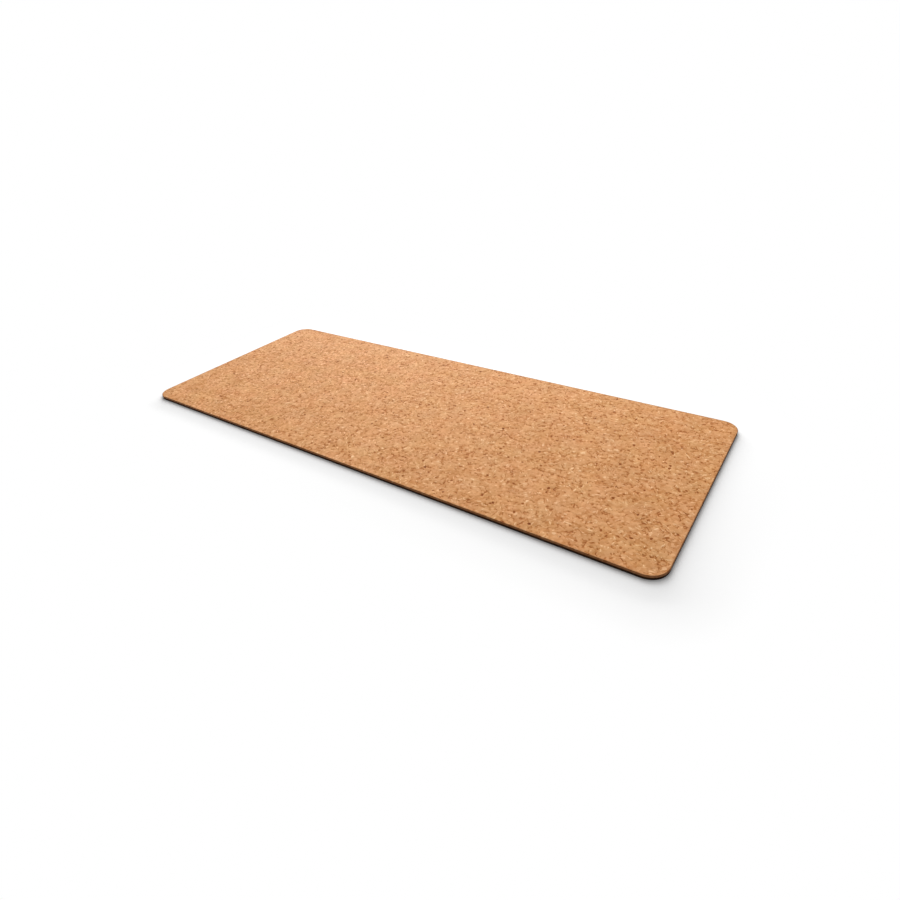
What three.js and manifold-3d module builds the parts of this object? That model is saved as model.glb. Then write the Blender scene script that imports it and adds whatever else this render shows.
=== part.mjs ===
// Cork desk mat: a sheet of pressed cork, glued to a rubber base and cut with it to one rounded outline.
// Millimetres, +Z up, long side along X, origin at the centre of the underside.
import * as THREE from 'three';
import { mergeVertices } from 'three/addons/utils/BufferGeometryUtils.js';
import Module from 'manifold-3d';

// Driving dimensions of the outline that every layer is cut to
const matLength = 750;
const matWidth = 300;
const cornerRadius = 20;

// Thickness of each layer, from the desk up
const baseThickness = 2.5;
const filmThickness = 0.25;
const corkThickness = 2.25;

// Radius that eases the rim under the hand and the rim on the desk
const corkRimRadius = 0.5;
const baseRimRadius = 0.5;

// How finely round stretches are divided
const cornerSteps = 12;
const rimSteps = 4;

// How far the blocks that trim a sheet reach past it
const trimMargin = 5;

const wasm = await Module();
wasm.setup();

function toSolid(geometry) {
  const bare = geometry.clone();
  bare.deleteAttribute('normal');
  bare.deleteAttribute('uv');
  const merged = mergeVertices(bare);
  const vertProperties = new Float32Array(merged.attributes.position.array);
  const triVerts = new Uint32Array(merged.index.array);
  return new wasm.Manifold(new wasm.Mesh({ numProp: 3, vertProperties, triVerts }));
}

function toGeometry(solid) {
  const mesh = solid.getMesh();
  const geometry = new THREE.BufferGeometry();
  geometry.setAttribute('position', new THREE.BufferAttribute(mesh.vertProperties, mesh.numProp));
  geometry.setIndex(new THREE.BufferAttribute(mesh.triVerts, 1));
  geometry.computeVertexNormals();
  return geometry;
}

// The rectangle with rounded corners that all layers share
function matOutline() {
  const arcX = matLength / 2 - cornerRadius;
  const arcY = matWidth / 2 - cornerRadius;
  const quarterTurn = Math.PI / 2;
  const cornerSigns = [[1, 1], [-1, 1], [-1, -1], [1, -1]];
  const outline = new THREE.Shape();
  cornerSigns.forEach(([signX, signY], turn) => {
    const start = turn * quarterTurn;
    outline.absarc(signX * arcX, signY * arcY, cornerRadius, start, start + quarterTurn);
  });
  return outline;
}

// A sheet with square rims, standing on z = 0
function squareSheet(thickness) {
  return new THREE.ExtrudeGeometry(matOutline(), {
    depth: thickness,
    bevelEnabled: false,
    curveSegments: cornerSteps,
  });
}

// A sheet standing on z = 0 with one rim eased. It is made too thick and rounded on both rims, and a block
// then trims it back to a flat face on the other side.
function easedSheet(thickness, rimRadius, easedSide) {
  const round = Math.min(rimRadius, thickness);
  const rounded = new THREE.ExtrudeGeometry(matOutline(), {
    depth: thickness,
    bevelThickness: round,
    bevelSize: round,
    bevelOffset: -round,
    bevelSegments: rimSteps,
    curveSegments: cornerSteps,
  });
  const trimDepth = 2 * round + trimMargin;
  const block = new THREE.BoxGeometry(matLength + 2 * trimMargin, matWidth + 2 * trimMargin, trimDepth);
  if (easedSide === 'upper') {
    rounded.translate(0, 0, -round);
    block.translate(0, 0, -trimDepth / 2);
  } else {
    rounded.translate(0, 0, round);
    block.translate(0, 0, thickness + trimDepth / 2);
  }
  return toGeometry(toSolid(rounded).subtract(toSolid(block)));
}

function layer(name, geometry, level, finish) {
  const mesh = new THREE.Mesh(geometry, new THREE.MeshStandardMaterial(finish));
  mesh.name = name;
  mesh.position.z = level;
  return mesh;
}

// Each layer rests on the one below. The levels add up 32-bit thicknesses, as the meshes hold them, so that
// the faces meet exactly.
const filmLevel = Math.fround(baseThickness);
const corkLevel = filmLevel + Math.fround(filmThickness);

const mat = new THREE.Group();
mat.name = 'cork_desk_mat';

// Non-slip rubber sheet, eased where it meets the desk
mat.add(layer('rubber_base', easedSheet(baseThickness, baseRimRadius, 'lower'), 0, {
  color: 0x211a16,
  roughness: 0.85,
  metalness: 0,
}));

// Adhesive film between the two sheets, out to the cut edge
mat.add(layer('bond_film', squareSheet(filmThickness), filmLevel, {
  color: 0x4a3120,
  roughness: 0.45,
  metalness: 0,
}));

// Sheet of pressed cork granules, the working surface, eased along its upper rim
mat.add(layer('cork_top', easedSheet(corkThickness, corkRimRadius, 'upper'), corkLevel, {
  color: 0xd9a070,
  roughness: 0.8,
  metalness: 0,
}));

export default mat;
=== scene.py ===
import math

import bpy
from mathutils import Matrix, Vector


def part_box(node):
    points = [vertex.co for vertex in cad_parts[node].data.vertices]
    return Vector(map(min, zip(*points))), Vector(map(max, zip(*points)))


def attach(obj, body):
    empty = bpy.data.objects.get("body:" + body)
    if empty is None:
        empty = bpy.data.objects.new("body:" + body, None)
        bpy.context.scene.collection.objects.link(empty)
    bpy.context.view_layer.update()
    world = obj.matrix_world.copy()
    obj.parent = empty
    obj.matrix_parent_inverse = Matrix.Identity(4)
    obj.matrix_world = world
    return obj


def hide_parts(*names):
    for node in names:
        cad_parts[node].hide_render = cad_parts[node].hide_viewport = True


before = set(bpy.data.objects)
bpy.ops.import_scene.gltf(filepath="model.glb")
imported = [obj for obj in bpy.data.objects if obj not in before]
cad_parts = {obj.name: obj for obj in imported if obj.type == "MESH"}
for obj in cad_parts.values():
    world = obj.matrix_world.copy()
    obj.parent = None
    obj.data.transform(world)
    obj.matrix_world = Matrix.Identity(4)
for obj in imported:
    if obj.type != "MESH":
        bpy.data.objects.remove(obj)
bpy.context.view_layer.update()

# Rubber base
# A sheet of dark rubber that keeps the mat from sliding. It is moulded with a fine honeycomb of pads
# underneath, glued to the cork above it and cut through together with it, so its edge is plain.


class Wire:
    """The output of a node. Sums and products of wires add the nodes that work them out."""

    def __init__(self, tree, socket=None):
        self.tree = tree
        self.socket = socket

    def node(self, kind, settings=None, sockets=None, out=None):
        """Adds a node: first its settings, then the values or wires of its inputs, by identifier."""
        made = self.tree.nodes.new(kind)
        for name, value in (settings or {}).items():
            if name == "stops":
                self.set_stops(made.color_ramp.elements, value)
            else:
                setattr(made, name, value)
        inputs = {socket.identifier: socket for socket in made.inputs}
        for name, value in (sockets or {}).items():
            if isinstance(value, Wire):
                self.tree.links.new(value.socket, inputs[name])
            else:
                inputs[name].default_value = value
        outputs = {socket.identifier: socket for socket in made.outputs}
        return Wire(self.tree, outputs[out] if out else made.outputs[0])

    def set_stops(self, elements, stops):
        while len(elements) < len(stops):
            elements.new(1.0)
        for element, (position, colour) in zip(elements, stops):
            element.position = position
            element.color = colour

    def beside(self, name):
        """Another output of the same node."""
        return Wire(self.tree, self.socket.node.outputs[name])

    def maths(self, operation, *terms):
        """A Math node, or a Vector Math node where one of the terms is a vector or a colour."""
        vectors = any(isinstance(term, Wire) and term.socket.type in ("VECTOR", "RGBA") for term in terms)
        kind, name = ("ShaderNodeVectorMath", "Vector") if vectors else ("ShaderNodeMath", "Value")
        sockets = {}
        for identifier, term in zip((name, name + "_001", name + "_002"), terms):
            plain_number = vectors and isinstance(term, (int, float))
            sockets[identifier] = (term, term, term) if plain_number else term
        return self.node(kind, {"operation": operation}, sockets)

    def __add__(self, other):
        return self.maths("ADD", self, other)

    def __radd__(self, other):
        return self.maths("ADD", other, self)

    def __sub__(self, other):
        return self.maths("SUBTRACT", self, other)

    def __rsub__(self, other):
        return self.maths("SUBTRACT", other, self)

    def __mul__(self, other):
        return self.maths("MULTIPLY", self, other)

    def __rmul__(self, other):
        return self.maths("MULTIPLY", other, self)

    def __truediv__(self, other):
        return self.maths("DIVIDE", self, other)

    def __rtruediv__(self, other):
        return self.maths("DIVIDE", other, self)

    def __mod__(self, other):
        return self.maths("MODULO", self, other)

    def at_least(self, other):
        return self.maths("MAXIMUM", self, other)

    def at_most(self, other):
        return self.maths("MINIMUM", self, other)

    def between(self, low, high):
        """Goes smoothly from 0 to 1 as this value goes from low to high."""
        settings = {"interpolation_type": "SMOOTHSTEP"}
        return self.node("ShaderNodeMapRange", settings, {"Value": self, "From Min": low, "From Max": high})

    def blend(self, first, second):
        """Goes from the first colour to the second as this value goes from 0 to 1."""
        sockets = {"Factor_Float": self, "A_Color": first, "B_Color": second}
        return self.node("ShaderNodeMix", {"data_type": "RGBA"}, sockets, "Result_Color")


def sheet_nodes():
    """Nodes for a sheet cut to the mat's outline. The worked face is at z = 0, looks up, and is a mosaic of
    cells with seams between them. The rim round it is eased, and the wall and the back are plain."""
    tree = bpy.data.node_groups.new("cut_sheet", "GeometryNodeTree")
    kinds = {
        "Length": "Float", "Width": "Float", "Thickness": "Float", "Corner Radius": "Float",
        "Rim Radius": "Float", "Cells Long": "Int", "Cells Wide": "Int", "Scatter": "Float",
        "Cell Share": "Float", "Seam Shallow": "Float", "Seam Deep": "Float", "Cell Drop": "Float",
        "Granule Size": "Float", "Granule Crook": "Float", "Rift Depth": "Float",
        "Gap Share": "Float", "Torn Share": "Float", "Pit Depth": "Float", "Soft Cells": "Bool",
        "Seed": "Int", "Material": "Material",
    }
    for name, kind in kinds.items():
        tree.interface.new_socket(name, in_out="INPUT", socket_type="NodeSocket" + kind)
    tree.interface.new_socket("Sheet", in_out="OUTPUT", socket_type="NodeSocketGeometry")
    given = tree.nodes.new("NodeGroupInput")
    size = {socket.name: Wire(tree, socket) for socket in given.outputs if socket.name}
    start = Wire(tree)
    rim = size["Rim Radius"]

    def vector(x, y, z):
        return start.node("ShaderNodeCombineXYZ", {}, {"X": x, "Y": y, "Z": z})

    def chance(share, draw):
        sockets = {"Probability": share, "Seed": size["Seed"] + draw}
        return start.node("FunctionNodeRandomValue", {"data_type": "BOOLEAN"}, sockets, "Value_003")

    def spread(low, high, draw):
        sockets = {"Min_001": low, "Max_001": high, "Seed": size["Seed"] + draw}
        return start.node("FunctionNodeRandomValue", {"data_type": "FLOAT"}, sockets, "Value_001")

    def logic(operation, first, second):
        sockets = {"Boolean": first, "Boolean_001": second}
        return start.node("FunctionNodeBooleanMath", {"operation": operation}, sockets)

    def counted(count, number, domain):
        """Where a count that belongs to edges or faces is this number."""
        settings = {"data_type": "INT", "operation": "EQUAL"}
        same = start.node("FunctionNodeCompare", settings, {"A_INT": count, "B_INT": number})
        settings = {"data_type": "BOOLEAN", "domain": domain}
        return start.node("GeometryNodeFieldOnDomain", settings, {"Value": same})

    def move(mesh, where, offset):
        sockets = {"Geometry": mesh, "Selection": where, "Offset": offset}
        return start.node("GeometryNodeSetPosition", {}, sockets)

    def put(mesh, where, position):
        sockets = {"Geometry": mesh, "Selection": where, "Position": position}
        return start.node("GeometryNodeSetPosition", {}, sockets)

    def keep(mesh, name, domain, value):
        settings = {"data_type": "FLOAT", "domain": domain}
        sockets = {"Geometry": mesh, "Name": name, "Value": value}
        return start.node("GeometryNodeStoreNamedAttribute", settings, sockets)

    def frame_faces(mesh, where, share):
        """Gives each of these faces a frame of its own and shrinks what is inside the frame."""
        sockets = {"Mesh": mesh, "Selection": where, "Offset Scale": 0.0, "Individual": True}
        framed = start.node("GeometryNodeExtrudeMesh", {"mode": "FACES"}, sockets)
        inside = framed.beside("Top")
        sockets = {"Geometry": framed, "Selection": inside, "Scale": share}
        return start.node("GeometryNodeScaleElements", {"domain": "FACE"}, sockets), inside

    def draw_out(mesh, edges, offset):
        sockets = {"Mesh": mesh, "Selection": edges, "Offset": offset, "Offset Scale": 1.0}
        drawn = start.node("GeometryNodeExtrudeMesh", {"mode": "EDGES"}, sockets)
        return drawn, drawn.beside("Top"), drawn.beside("Side")

    # The nearest point between the centres of the round corners, and the way out from there
    place = start.node("GeometryNodeInputPosition")
    core_x = size["Length"] / 2 - size["Corner Radius"]
    core_y = size["Width"] / 2 - size["Corner Radius"]
    core = place.at_least(vector(0 - core_x, 0 - core_y, -1.0)).at_most(vector(core_x, core_y, 1.0))
    outward = place - core
    reach = start.node("ShaderNodeVectorMath", {"operation": "LENGTH"}, {"Vector": outward}, "Value")
    straight_out = start.node("ShaderNodeVectorMath", {"operation": "NORMALIZE"}, {"Vector": outward})
    aside = start.node("ShaderNodeSeparateXYZ", {}, {"Vector": start.maths("ABSOLUTE", outward)})
    open_edge = counted(start.node("GeometryNodeInputMeshEdgeNeighbors"), 1, "EDGE")
    inner = logic("NOT", open_edge, False)

    # A grid with every other row shifted and its inner points scattered, bent to the round corners
    flat_length = size["Length"] - 2 * rim
    flat_width = size["Width"] - 2 * rim
    mesh = start.node("GeometryNodeMeshGrid", {}, {
        "Size X": flat_length, "Size Y": flat_width,
        "Vertices X": size["Cells Long"], "Vertices Y": size["Cells Wide"],
    })
    row = start.node("GeometryNodeInputIndex") % size["Cells Wide"] % 2
    shift = (row - 0.5) * flat_length / size["Cells Long"] / 2
    scatter_x = spread(0 - size["Scatter"], size["Scatter"], 1)
    scatter_y = spread(0 - size["Scatter"], size["Scatter"], 2)
    mesh = move(mesh, inner, vector(shift + scatter_x, scatter_y, 0.0))
    nothing = 1e-9
    bend = aside.at_least(aside.beside("Y")) / reach.at_least(nothing)
    mesh = put(mesh, True, core + outward * bend)
    mesh = start.node("GeometryNodeTriangulate", {"quad_method": "SHORTEST_DIAGONAL"}, {"Mesh": mesh})

    # A point set in some of the triangles becomes a small gap where three cells meet
    mesh, middle = frame_faces(mesh, chance(size["Gap Share"], 3), 0.0)
    touching = 1e-6
    sockets = {"Geometry": mesh, "Selection": middle, "Distance": touching}
    mesh = start.node("GeometryNodeMergeByDistance", {}, sockets)
    mesh = start.node("GeometryNodeDualMesh", {}, {"Mesh": mesh, "Keep Boundaries": True})
    mesh = put(mesh, open_edge, core + straight_out * (size["Corner Radius"] - rim))

    # Each cell keeps a number of its own, whether it is a pit, and how far it lies below the face
    gap = counted(start.node("GeometryNodeInputMeshFaceNeighbors"), 3, "FACE")
    whole_border = 0.004
    settings = {"data_type": "FLOAT", "operation": "LESS_THAN"}
    sockets = {"A": reach, "B": size["Corner Radius"] - whole_border}
    away_from_rim = start.node("FunctionNodeCompare", settings, sockets)
    hollow = logic("AND", logic("OR", gap, chance(size["Torn Share"], 4)), away_from_rim)
    mesh = keep(mesh, "cell", "FACE", spread(0.0, 1.0, 5))
    mesh = keep(mesh, "pit", "FACE", hollow)
    mesh = keep(mesh, "drop", "FACE", spread(0.0, size["Cell Drop"], 6) + size["Pit Depth"] * hollow)

    # Cells that lie in one granule share its number, and a rift opens where unlike granules meet
    bends_per_granule = 1.6
    sockets = {"Scale": bends_per_granule / size["Granule Size"], "Detail": 1.0}
    wander = start.node("ShaderNodeTexNoise", {}, sockets, "Color")
    crooked = place + (wander - 0.5) * size["Granule Crook"]
    sockets = {"Vector": crooked, "Scale": 1 / size["Granule Size"]}
    heart = start.node("ShaderNodeTexVoronoi", {}, sockets, "Position")
    granule = start.node("ShaderNodeTexWhiteNoise", {}, {"Vector": heart}, "Value")
    mesh = keep(mesh, "granule", "FACE", granule)
    number = start.node("GeometryNodeInputNamedAttribute", {"data_type": "FLOAT"}, {"Name": "granule"})
    settings = {"data_type": "FLOAT", "domain": "FACE"}
    squared = start.node("GeometryNodeFieldOnDomain", settings, {"Value": number * number})
    unlike = (squared - number * number).between(0.001, 0.02)
    mesh = keep(mesh, "rift", "POINT", unlike * spread(0.6, 1.0, 8))

    # Seams run down between the cells, and deeper along the rifts
    mesh, cell = frame_faces(mesh, True, size["Cell Share"])
    seam = logic("NOR", cell, open_edge)
    mesh = keep(mesh, "seam", "POINT", seam)
    rift = start.node("GeometryNodeInputNamedAttribute", {"data_type": "FLOAT"}, {"Name": "rift"})
    mesh = keep(mesh, "rift", "POINT", rift * seam)
    depth = spread(size["Seam Shallow"], size["Seam Deep"], 7) + rift * size["Rift Depth"]
    mesh = move(mesh, seam, vector(0.0, 0.0, 0 - depth))
    drop = start.node("GeometryNodeInputNamedAttribute", {"data_type": "FLOAT"}, {"Name": "drop"})
    mesh = move(mesh, cell, vector(0.0, 0.0, 0 - drop))

    # The eased rim and the wall are drawn out of the open edge
    rim_steps = 4
    edge = open_edge
    sides = False
    for step in range(rim_steps):
        upper = step / rim_steps * math.pi / 2
        lower = (step + 1) / rim_steps * math.pi / 2
        out = rim * (math.sin(lower) - math.sin(upper))
        down = rim * (math.cos(lower) - math.cos(upper))
        mesh, edge, side = draw_out(mesh, edge, straight_out * out + vector(0.0, 0.0, down))
        sides = logic("OR", side, sides)
    mesh, edge, side = draw_out(mesh, edge, vector(0.0, 0.0, rim - size["Thickness"]))
    sides = logic("OR", side, sides)
    mesh = keep(mesh, "cut_edge", "FACE", sides)
    sockets = {"Geometry": mesh, "Shade Smooth": logic("OR", sides, size["Soft Cells"])}
    mesh = start.node("GeometryNodeSetShadeSmooth", {"domain": "FACE"}, sockets)

    # A flat face closes the back
    outline = start.node("GeometryNodeMeshToCurve", {}, {"Mesh": mesh, "Selection": edge})
    back = start.node("GeometryNodeFillCurve", {"mode": "NGONS"}, {"Curve": outline})
    spot = start.node("ShaderNodeSeparateXYZ", {}, {"Vector": place})
    back = put(back, True, vector(spot, spot.beside("Y"), 0 - size["Thickness"]))
    back = start.node("GeometryNodeFlipFaces", {}, {"Mesh": back})
    joined = start.node("GeometryNodeJoinGeometry", {}, {"Geometry": mesh})
    tree.links.new(back.socket, joined.socket.node.inputs[0])
    sheet = start.node("GeometryNodeMergeByDistance", {}, {"Geometry": joined, "Distance": touching})
    sheet = start.node("GeometryNodeRealizeInstances", {}, {"Geometry": sheet})
    sheet = start.node("GeometryNodeSetMaterial", {}, {"Geometry": sheet, "Material": size["Material"]})
    result = tree.nodes.new("NodeGroupOutput")
    tree.links.new(sheet.socket, result.inputs[0])
    return tree


def cut_sheet(name, sizes, placement):
    """A sheet from the nodes, as a plain mesh in its place."""
    piece = bpy.data.objects.new(name, bpy.data.meshes.new(name + "_start"))
    bpy.context.scene.collection.objects.link(piece)
    modifier = piece.modifiers.new("cut_sheet", "NODES")
    modifier.node_group = sheet_tree
    for item in sheet_tree.interface.items_tree:
        if item.in_out == "INPUT":
            modifier[item.identifier] = sizes[item.name]
    graph = bpy.context.evaluated_depsgraph_get()
    made = bpy.data.meshes.new_from_object(
        piece.evaluated_get(graph), preserve_all_data_layers=True, depsgraph=graph
    )
    piece.modifiers.clear()
    piece.data = made
    made.transform(placement)
    return piece


def screen_colour(red, green, blue):
    """The linear colour of these screen values, each from 11 to 255."""
    return (*[((value / 255 + 0.055) / 1.055) ** 2.4 for value in (red, green, blue)], 1.0)


def new_material(name):
    """A material with a Principled shader, and the wire that its nodes start from."""
    material = bpy.data.materials.new(name)
    material.use_nodes = True
    nodes = material.node_tree.nodes
    shader = nodes["Principled BSDF"]
    return material, shader, Wire(material.node_tree)


def feed(shader, socket_name, wire):
    wire.tree.links.new(wire.socket, shader.inputs[socket_name])


def rubber_material():
    material, shader, start = new_material("moulded_rubber")
    place = start.node("ShaderNodeTexCoord", {}, {}, "Object")
    cloud = start.node("ShaderNodeTexNoise", {}, {"Vector": place, "Scale": 90.0, "Detail": 4.0})
    grit = start.node("ShaderNodeTexNoise", {}, {"Vector": place, "Scale": 2600.0, "Detail": 2.0})
    seam = start.node("ShaderNodeAttribute", {"attribute_name": "seam"}, {}, "Fac")
    deep_black = screen_colour(38, 20, 11)
    worn_black = screen_colour(54, 30, 13)
    dusty = screen_colour(62, 42, 26)
    colour = cloud.between(0.35, 0.7).blend(deep_black, worn_black)
    colour = (grit.between(0.6, 0.75) * 0.4 + seam * 0.25).blend(colour, dusty)
    feed(shader, "Base Color", colour)
    feed(shader, "Roughness", 0.7 + cloud * 0.25)
    bump = start.node("ShaderNodeBump", {}, {"Height": grit, "Strength": 0.5, "Distance": 0.00015})
    feed(shader, "Normal", bump)
    shader.inputs["Specular IOR Level"].default_value = 0.04
    return material


sheet_tree = sheet_nodes()
corner_radius = 0.020
rim_radius = 0.0005
rubber_low, rubber_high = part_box("rubber_base")
mat_length = rubber_high.x - rubber_low.x
mat_width = rubber_high.y - rubber_low.y
pad_pitch = 0.006
pad_height = 0.0004
pad_rows = math.sqrt(3) / 2 * pad_pitch
face_down = Matrix.Diagonal((1.0, -1.0, -1.0, 1.0))
rubber_base = cut_sheet("rubber_base_sheet", {
    "Length": mat_length, "Width": mat_width, "Thickness": rubber_high.z - rubber_low.z,
    "Corner Radius": corner_radius, "Rim Radius": rim_radius,
    "Cells Long": round(mat_length / pad_pitch), "Cells Wide": round(mat_width / pad_rows), "Scatter": 0.0,
    "Cell Share": 0.8, "Seam Shallow": pad_height, "Seam Deep": pad_height, "Cell Drop": 0.0,
    "Granule Size": 1.0, "Granule Crook": 0.0, "Rift Depth": 0.0,
    "Gap Share": 0.0, "Torn Share": 0.0, "Pit Depth": 0.0, "Soft Cells": False,
    "Seed": 0, "Material": rubber_material(),
}, face_down)
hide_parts("rubber_base")
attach(rubber_base, "root")

# Bond film
# The layer of contact adhesive that laminates the two sheets. It is spread to the outline and pressed, and
# only its cut edge shows, as a thin brown line between cork and rubber.


def adhesive_material():
    material, shader, start = new_material("contact_adhesive")
    place = start.node("ShaderNodeTexCoord", {}, {}, "Object")
    flow = start.node("ShaderNodeTexNoise", {}, {"Vector": place, "Scale": 260.0, "Detail": 3.0})
    thin_brown = screen_colour(88, 54, 26)
    thick_brown = screen_colour(52, 30, 12)
    feed(shader, "Base Color", flow.between(0.3, 0.7).blend(thick_brown, thin_brown))
    feed(shader, "Roughness", 0.35 + flow * 0.3)
    bump = start.node("ShaderNodeBump", {}, {"Height": flow, "Strength": 0.4, "Distance": 0.0001})
    feed(shader, "Normal", bump)
    shader.inputs["Specular IOR Level"].default_value = 0.2
    return material


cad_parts["bond_film"].data.materials[0] = adhesive_material()

# Cork top
# A sheet sliced from a block of cork granules pressed together with resin. The granules show as tan patches
# with darker seams, and crumbs of bark and small gaps show as dark specks, partly bark and partly painted
# shade in the hollows. Its upper rim is sanded round.


def reach_past_corners(place):
    """How far a place lies outside the rectangle between the centres of the round corners, at any height."""
    any_height = 1.0
    core = (mat_length / 2 - corner_radius, mat_width / 2 - corner_radius, any_height)
    beside_core = (place.maths("ABSOLUTE", place) - core).at_least(0.0)
    return place.node("ShaderNodeVectorMath", {"operation": "LENGTH"}, {"Vector": beside_core}, "Value")


def cork_material():
    material, shader, start = new_material("pressed_cork")
    place = start.node("ShaderNodeTexCoord", {}, {}, "Object")

    def attribute(name):
        return start.node("ShaderNodeAttribute", {"attribute_name": name}, {}, "Fac")

    def noise(where, size, detail):
        sockets = {"Vector": where, "Scale": 1 / size, "Detail": detail}
        return start.node("ShaderNodeTexNoise", {}, sockets)

    def drawn(name):
        """Three random numbers for each value of a number that the mesh keeps."""
        sockets = {"W": attribute(name)}
        draw = start.node("ShaderNodeTexWhiteNoise", {"noise_dimensions": "1D"}, sockets, "Color")
        return start.node("ShaderNodeSeparateColor", {}, {"Color": draw})

    # Grain within the granules, which runs another way in each of them
    granule = drawn("granule")
    cell = drawn("cell")
    turn = {"rotation_type": "Z_AXIS"}
    sockets = {"Vector": place, "Angle": granule.beside("Green") * (2 * math.pi)}
    turned = start.node("ShaderNodeVectorRotate", turn, sockets)

    def dashes(length, shift):
        """Strokes along the grain. The shift takes them from another part of the noise."""
        width = 0.0019
        return noise(turned * (1.0, width / length, 1.0) + shift, size=width, detail=1.0)

    dark_dash = dashes(length=0.010, shift=0.1).between(0.65, 0.71)
    pale_dash = dashes(length=0.009, shift=0.2).between(0.64, 0.70)
    mottle = noise(place, size=0.005, detail=2.0)
    fine = noise(place, size=0.0010, detail=2.0)
    patch = noise(place, size=0.028, detail=2.0)

    # Dark lines along the rifts, dark specks in the hollow cells (partly bark, partly painted shade), and
    # pale flecks
    broken = noise(place, size=0.0055, detail=1.0).between(0.51, 0.61)
    line = attribute("rift").between(0.15, 0.75) * broken
    inside = 1 - attribute("seam").between(0.6, 1.0)
    # Every hollow cell is painted dark, partly as bark and partly as painted shade in the hollow.
    bark_and_hollow_shade = attribute("pit") * inside * (0.2 + 0.8 * cell.beside("Green") * cell.beside("Green"))
    fleck = cell.beside("Blue").between(0.95, 1.0)
    middle_tone = 0.525
    tone = (
        middle_tone
        + (granule - 0.5) * 0.10
        + (cell - 0.5) * 0.12
        + (mottle - 0.5) * 0.26
        + (fine - 0.5) * 0.08
        + (patch - 0.5) * 0.12
        + pale_dash * 0.32
        + fleck * 0.20
        - dark_dash * 0.20
        - line * 0.20
        - bark_and_hollow_shade * 0.38
    )
    bark = screen_colour(93, 44, 27)
    resin = screen_colour(148, 79, 30)
    dark_cork = screen_colour(190, 126, 71)
    tan_cork = screen_colour(208, 148, 95)
    light_cork = screen_colour(226, 169, 117)
    pale_cork = screen_colour(250, 208, 160)
    stops = [
        (0.0, bark), (0.2, resin), (0.4, dark_cork),
        (0.5, tan_cork), (0.65, light_cork), (1.0, pale_cork),
    ]
    colour = start.node("ShaderNodeValToRGB", {"stops": stops}, {"Fac": tone})
    tint = noise(place + 0.3, size=0.028, detail=1.0).beside("Color")
    tint_spread = (0.13, 0.0, 0.22)
    colour = colour * (1.0 + (tint - 0.5) * tint_spread)

    # The cut wall is painted a darker brown, partly the cut cork's own colour and partly painted shade, and
    # a band of painted shade darkens the top within 3 mm of the rim
    border = 0.003
    rim_band_painted_shade = reach_past_corners(place).between(corner_radius - border, corner_radius) * 0.23
    # The cut wall's darker brown is partly the cork's own colour and partly painted shade.
    shade_and_wall_brown_share = rim_band_painted_shade.at_least(attribute("cut_edge") * 0.71)
    cut_wall_brown_with_shade = screen_colour(92, 42, 11)
    colour = shade_and_wall_brown_share.blend(colour, cut_wall_brown_with_shade)
    feed(shader, "Base Color", colour)
    feed(shader, "Roughness", 0.8 - 0.2 * tone)
    height = mottle + fine * 0.3 + pale_dash * 0.4 - dark_dash * 0.4 - line * 0.6
    bump = start.node("ShaderNodeBump", {}, {"Height": height, "Strength": 0.4, "Distance": 0.0005})
    feed(shader, "Normal", bump)
    shader.inputs["Specular IOR Level"].default_value = 0.10
    return material


cork_low, cork_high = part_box("cork_top")
cell_pitch = 0.0032
cell_rows = math.sqrt(3) / 2 * cell_pitch
cork_top = cut_sheet("cork_sheet", {
    "Length": mat_length, "Width": mat_width, "Thickness": cork_high.z - cork_low.z,
    "Corner Radius": corner_radius, "Rim Radius": rim_radius,
    "Cells Long": round(mat_length / cell_pitch), "Cells Wide": round(mat_width / cell_rows),
    "Scatter": 0.4 * cell_pitch,
    "Cell Share": 0.0, "Seam Shallow": 0.0, "Seam Deep": 0.00008, "Cell Drop": 0.00006,
    "Granule Size": 0.008, "Granule Crook": 0.006, "Rift Depth": 0.0002,
    "Gap Share": 0.04, "Torn Share": 0.04, "Pit Depth": 0.0002, "Soft Cells": True,
    "Seed": 7, "Material": cork_material(),
}, Matrix.Translation((0.0, 0.0, cork_high.z)))
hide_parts("cork_top")
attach(cork_top, "root")

# Floor, light and camera
# A white table, three soft lamps (one near over the back of the mat, a high and a low one behind it to the
# left), an even fill from all round, and a camera above the corner at the front right.


def to_camera_or_mirror(start):
    """1 for rays that the camera sees straight, in a mirror or through glass, and 0 for rays that light."""
    paths = start.node("ShaderNodeLightPath", {}, {}, "Is Camera Ray")
    return paths.at_least(paths.beside("Is Glossy Ray")).at_least(paths.beside("Is Transmission Ray"))


def table_material():
    material = bpy.data.materials.new("white_table")
    material.use_nodes = True
    tree = material.node_tree
    tree.nodes.clear()
    start = Wire(tree)
    seen = to_camera_or_mirror(start)
    paint = start.node("ShaderNodeBsdfDiffuse", {}, {"Color": (0.95, 0.95, 0.95, 1.0)})
    place = start.node("ShaderNodeTexCoord", {}, {}, "Object")
    away = reach_past_corners(place) - corner_radius

    # The camera sees the table a little brighter than it is lit, and as plain white further from the mat.
    # Within 4 mm of the mat that extra brightness fades out, which paints a darker shadow along the contact.
    black = (0.0, 0.0, 0.0, 1.0)
    white = (1.0, 1.0, 1.0, 1.0)
    under_mat = -0.001
    shadow_line = 0.004
    white_from = 0.015
    white_past = 0.075
    # Painted shadow: the camera's extra brightness on the table is taken away along the mat's edge.
    table_lift_with_painted_shadow = (seen * away.between(under_mat, shadow_line)).blend(black, white)
    lift = start.node("ShaderNodeEmission", {}, {"Color": table_lift_with_painted_shadow, "Strength": 0.1})
    near = start.node("ShaderNodeAddShader", {}, {"Shader": paint, "Shader_001": lift})
    far = start.node("ShaderNodeEmission", {}, {"Color": white, "Strength": 1.0})
    sockets = {"Fac": seen * away.between(white_from, white_past), "Shader": near, "Shader_001": far}
    surface = start.node("ShaderNodeMixShader", {}, sockets)
    output = tree.nodes.new("ShaderNodeOutputMaterial")
    tree.links.new(surface.socket, output.inputs["Surface"])
    return material


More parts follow.
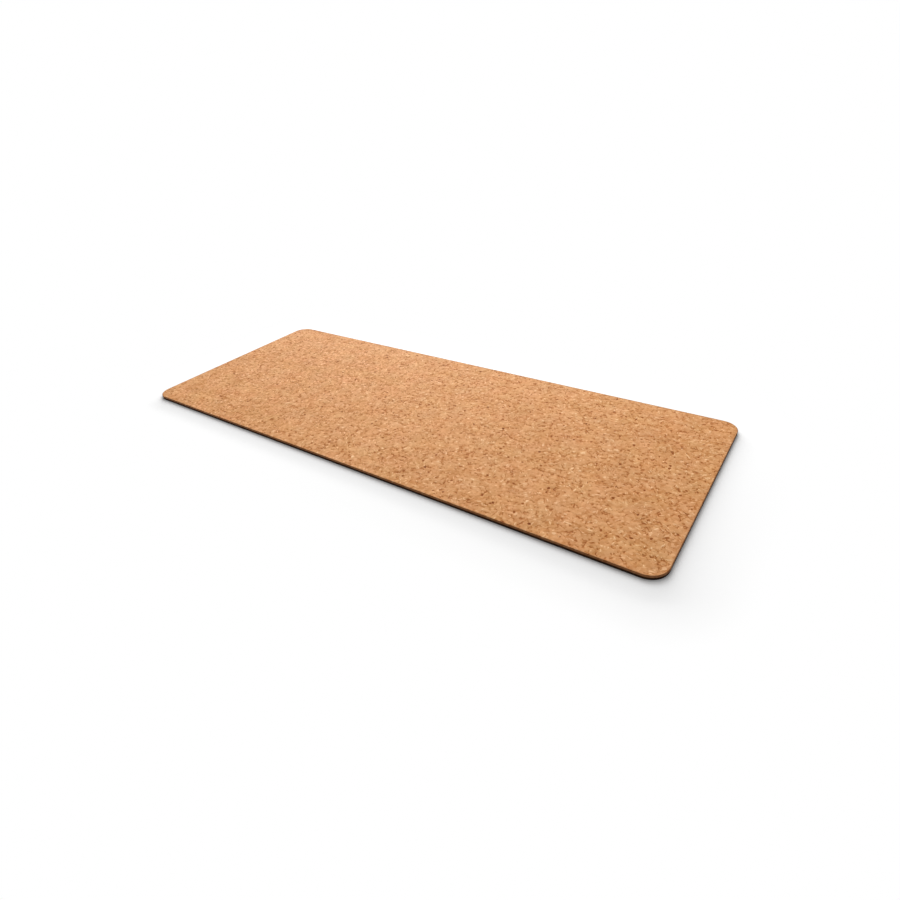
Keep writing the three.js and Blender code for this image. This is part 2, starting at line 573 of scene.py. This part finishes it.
table_half = 20.0
table_mesh = bpy.data.meshes.new("table")
corners = [(x * table_half, y * table_half, 0.0) for x, y in ((-1, -1), (1, -1), (1, 1), (-1, 1))]
table_mesh.from_pydata(corners, [], [(0, 1, 2, 3)])
table_mesh.materials.append(table_material())
table = bpy.data.objects.new("table", table_mesh)
bpy.context.scene.collection.objects.link(table)

world = bpy.data.worlds.new("studio")
bpy.context.scene.world = world
world.use_nodes = True
world_start = Wire(world.node_tree)
fill_strength = 0.345
seen = to_camera_or_mirror(world_start)
strength = fill_strength + seen * (1.0 - fill_strength)
background = world.node_tree.nodes["Background"]
background.inputs["Color"].default_value = (1.0, 1.0, 1.0, 1.0)
world.node_tree.links.new(strength.socket, background.inputs["Strength"])


def soft_lamp(name, azimuth, height, distance, width, length, power, shines):
    """A rectangular lamp that faces the middle of the mat. Azimuth is in degrees, from straight behind the
    mat to its left, and height is in degrees above the table."""
    turn = math.radians(azimuth)
    rise = math.radians(height)
    way = Vector((-math.sin(turn) * math.cos(rise), math.cos(turn) * math.cos(rise), math.sin(rise)))
    data = bpy.data.lights.new(name, "AREA")
    data.shape = "RECTANGLE"
    data.size = width
    data.size_y = length
    data.energy = power
    lamp = bpy.data.objects.new(name, data)
    lamp.location = way * distance
    lamp.rotation_euler = way.to_track_quat("Z", "Y").to_euler()
    lamp.visible_camera = False
    lamp.visible_glossy = shines
    bpy.context.scene.collection.objects.link(lamp)


soft_lamp(
    "near_lamp", azimuth=-3.6, height=62.0, distance=0.876,
    width=0.584, length=0.895, power=2.51, shines=False,
)
soft_lamp(
    "high_lamp", azimuth=37.2, height=25.6, distance=4.264,
    width=3.206, length=3.688, power=179.8, shines=True,
)
soft_lamp(
    "low_lamp", azimuth=25.7, height=10.8, distance=2.487,
    width=3.964, length=0.189, power=49.5, shines=False,
)

camera_data = bpy.data.cameras.new("camera")
camera_data.sensor_width = 36.0
camera_data.lens = 23.0656
camera = bpy.data.objects.new("camera", camera_data)
eye = Vector((0.44020, -0.52860, 0.37217))
turn = Matrix.Rotation(math.radians(36.4096), 4, "Z")
dip = Matrix.Rotation(math.radians(90.0 - 32.5737), 4, "X")
roll = Matrix.Rotation(math.radians(-4.1164), 4, "Z")
camera.matrix_world = Matrix.Translation(eye) @ turn @ dip @ roll
bpy.context.scene.collection.objects.link(camera)
bpy.context.scene.camera = camera
bpy.context.scene.view_settings.view_transform = "Standard"
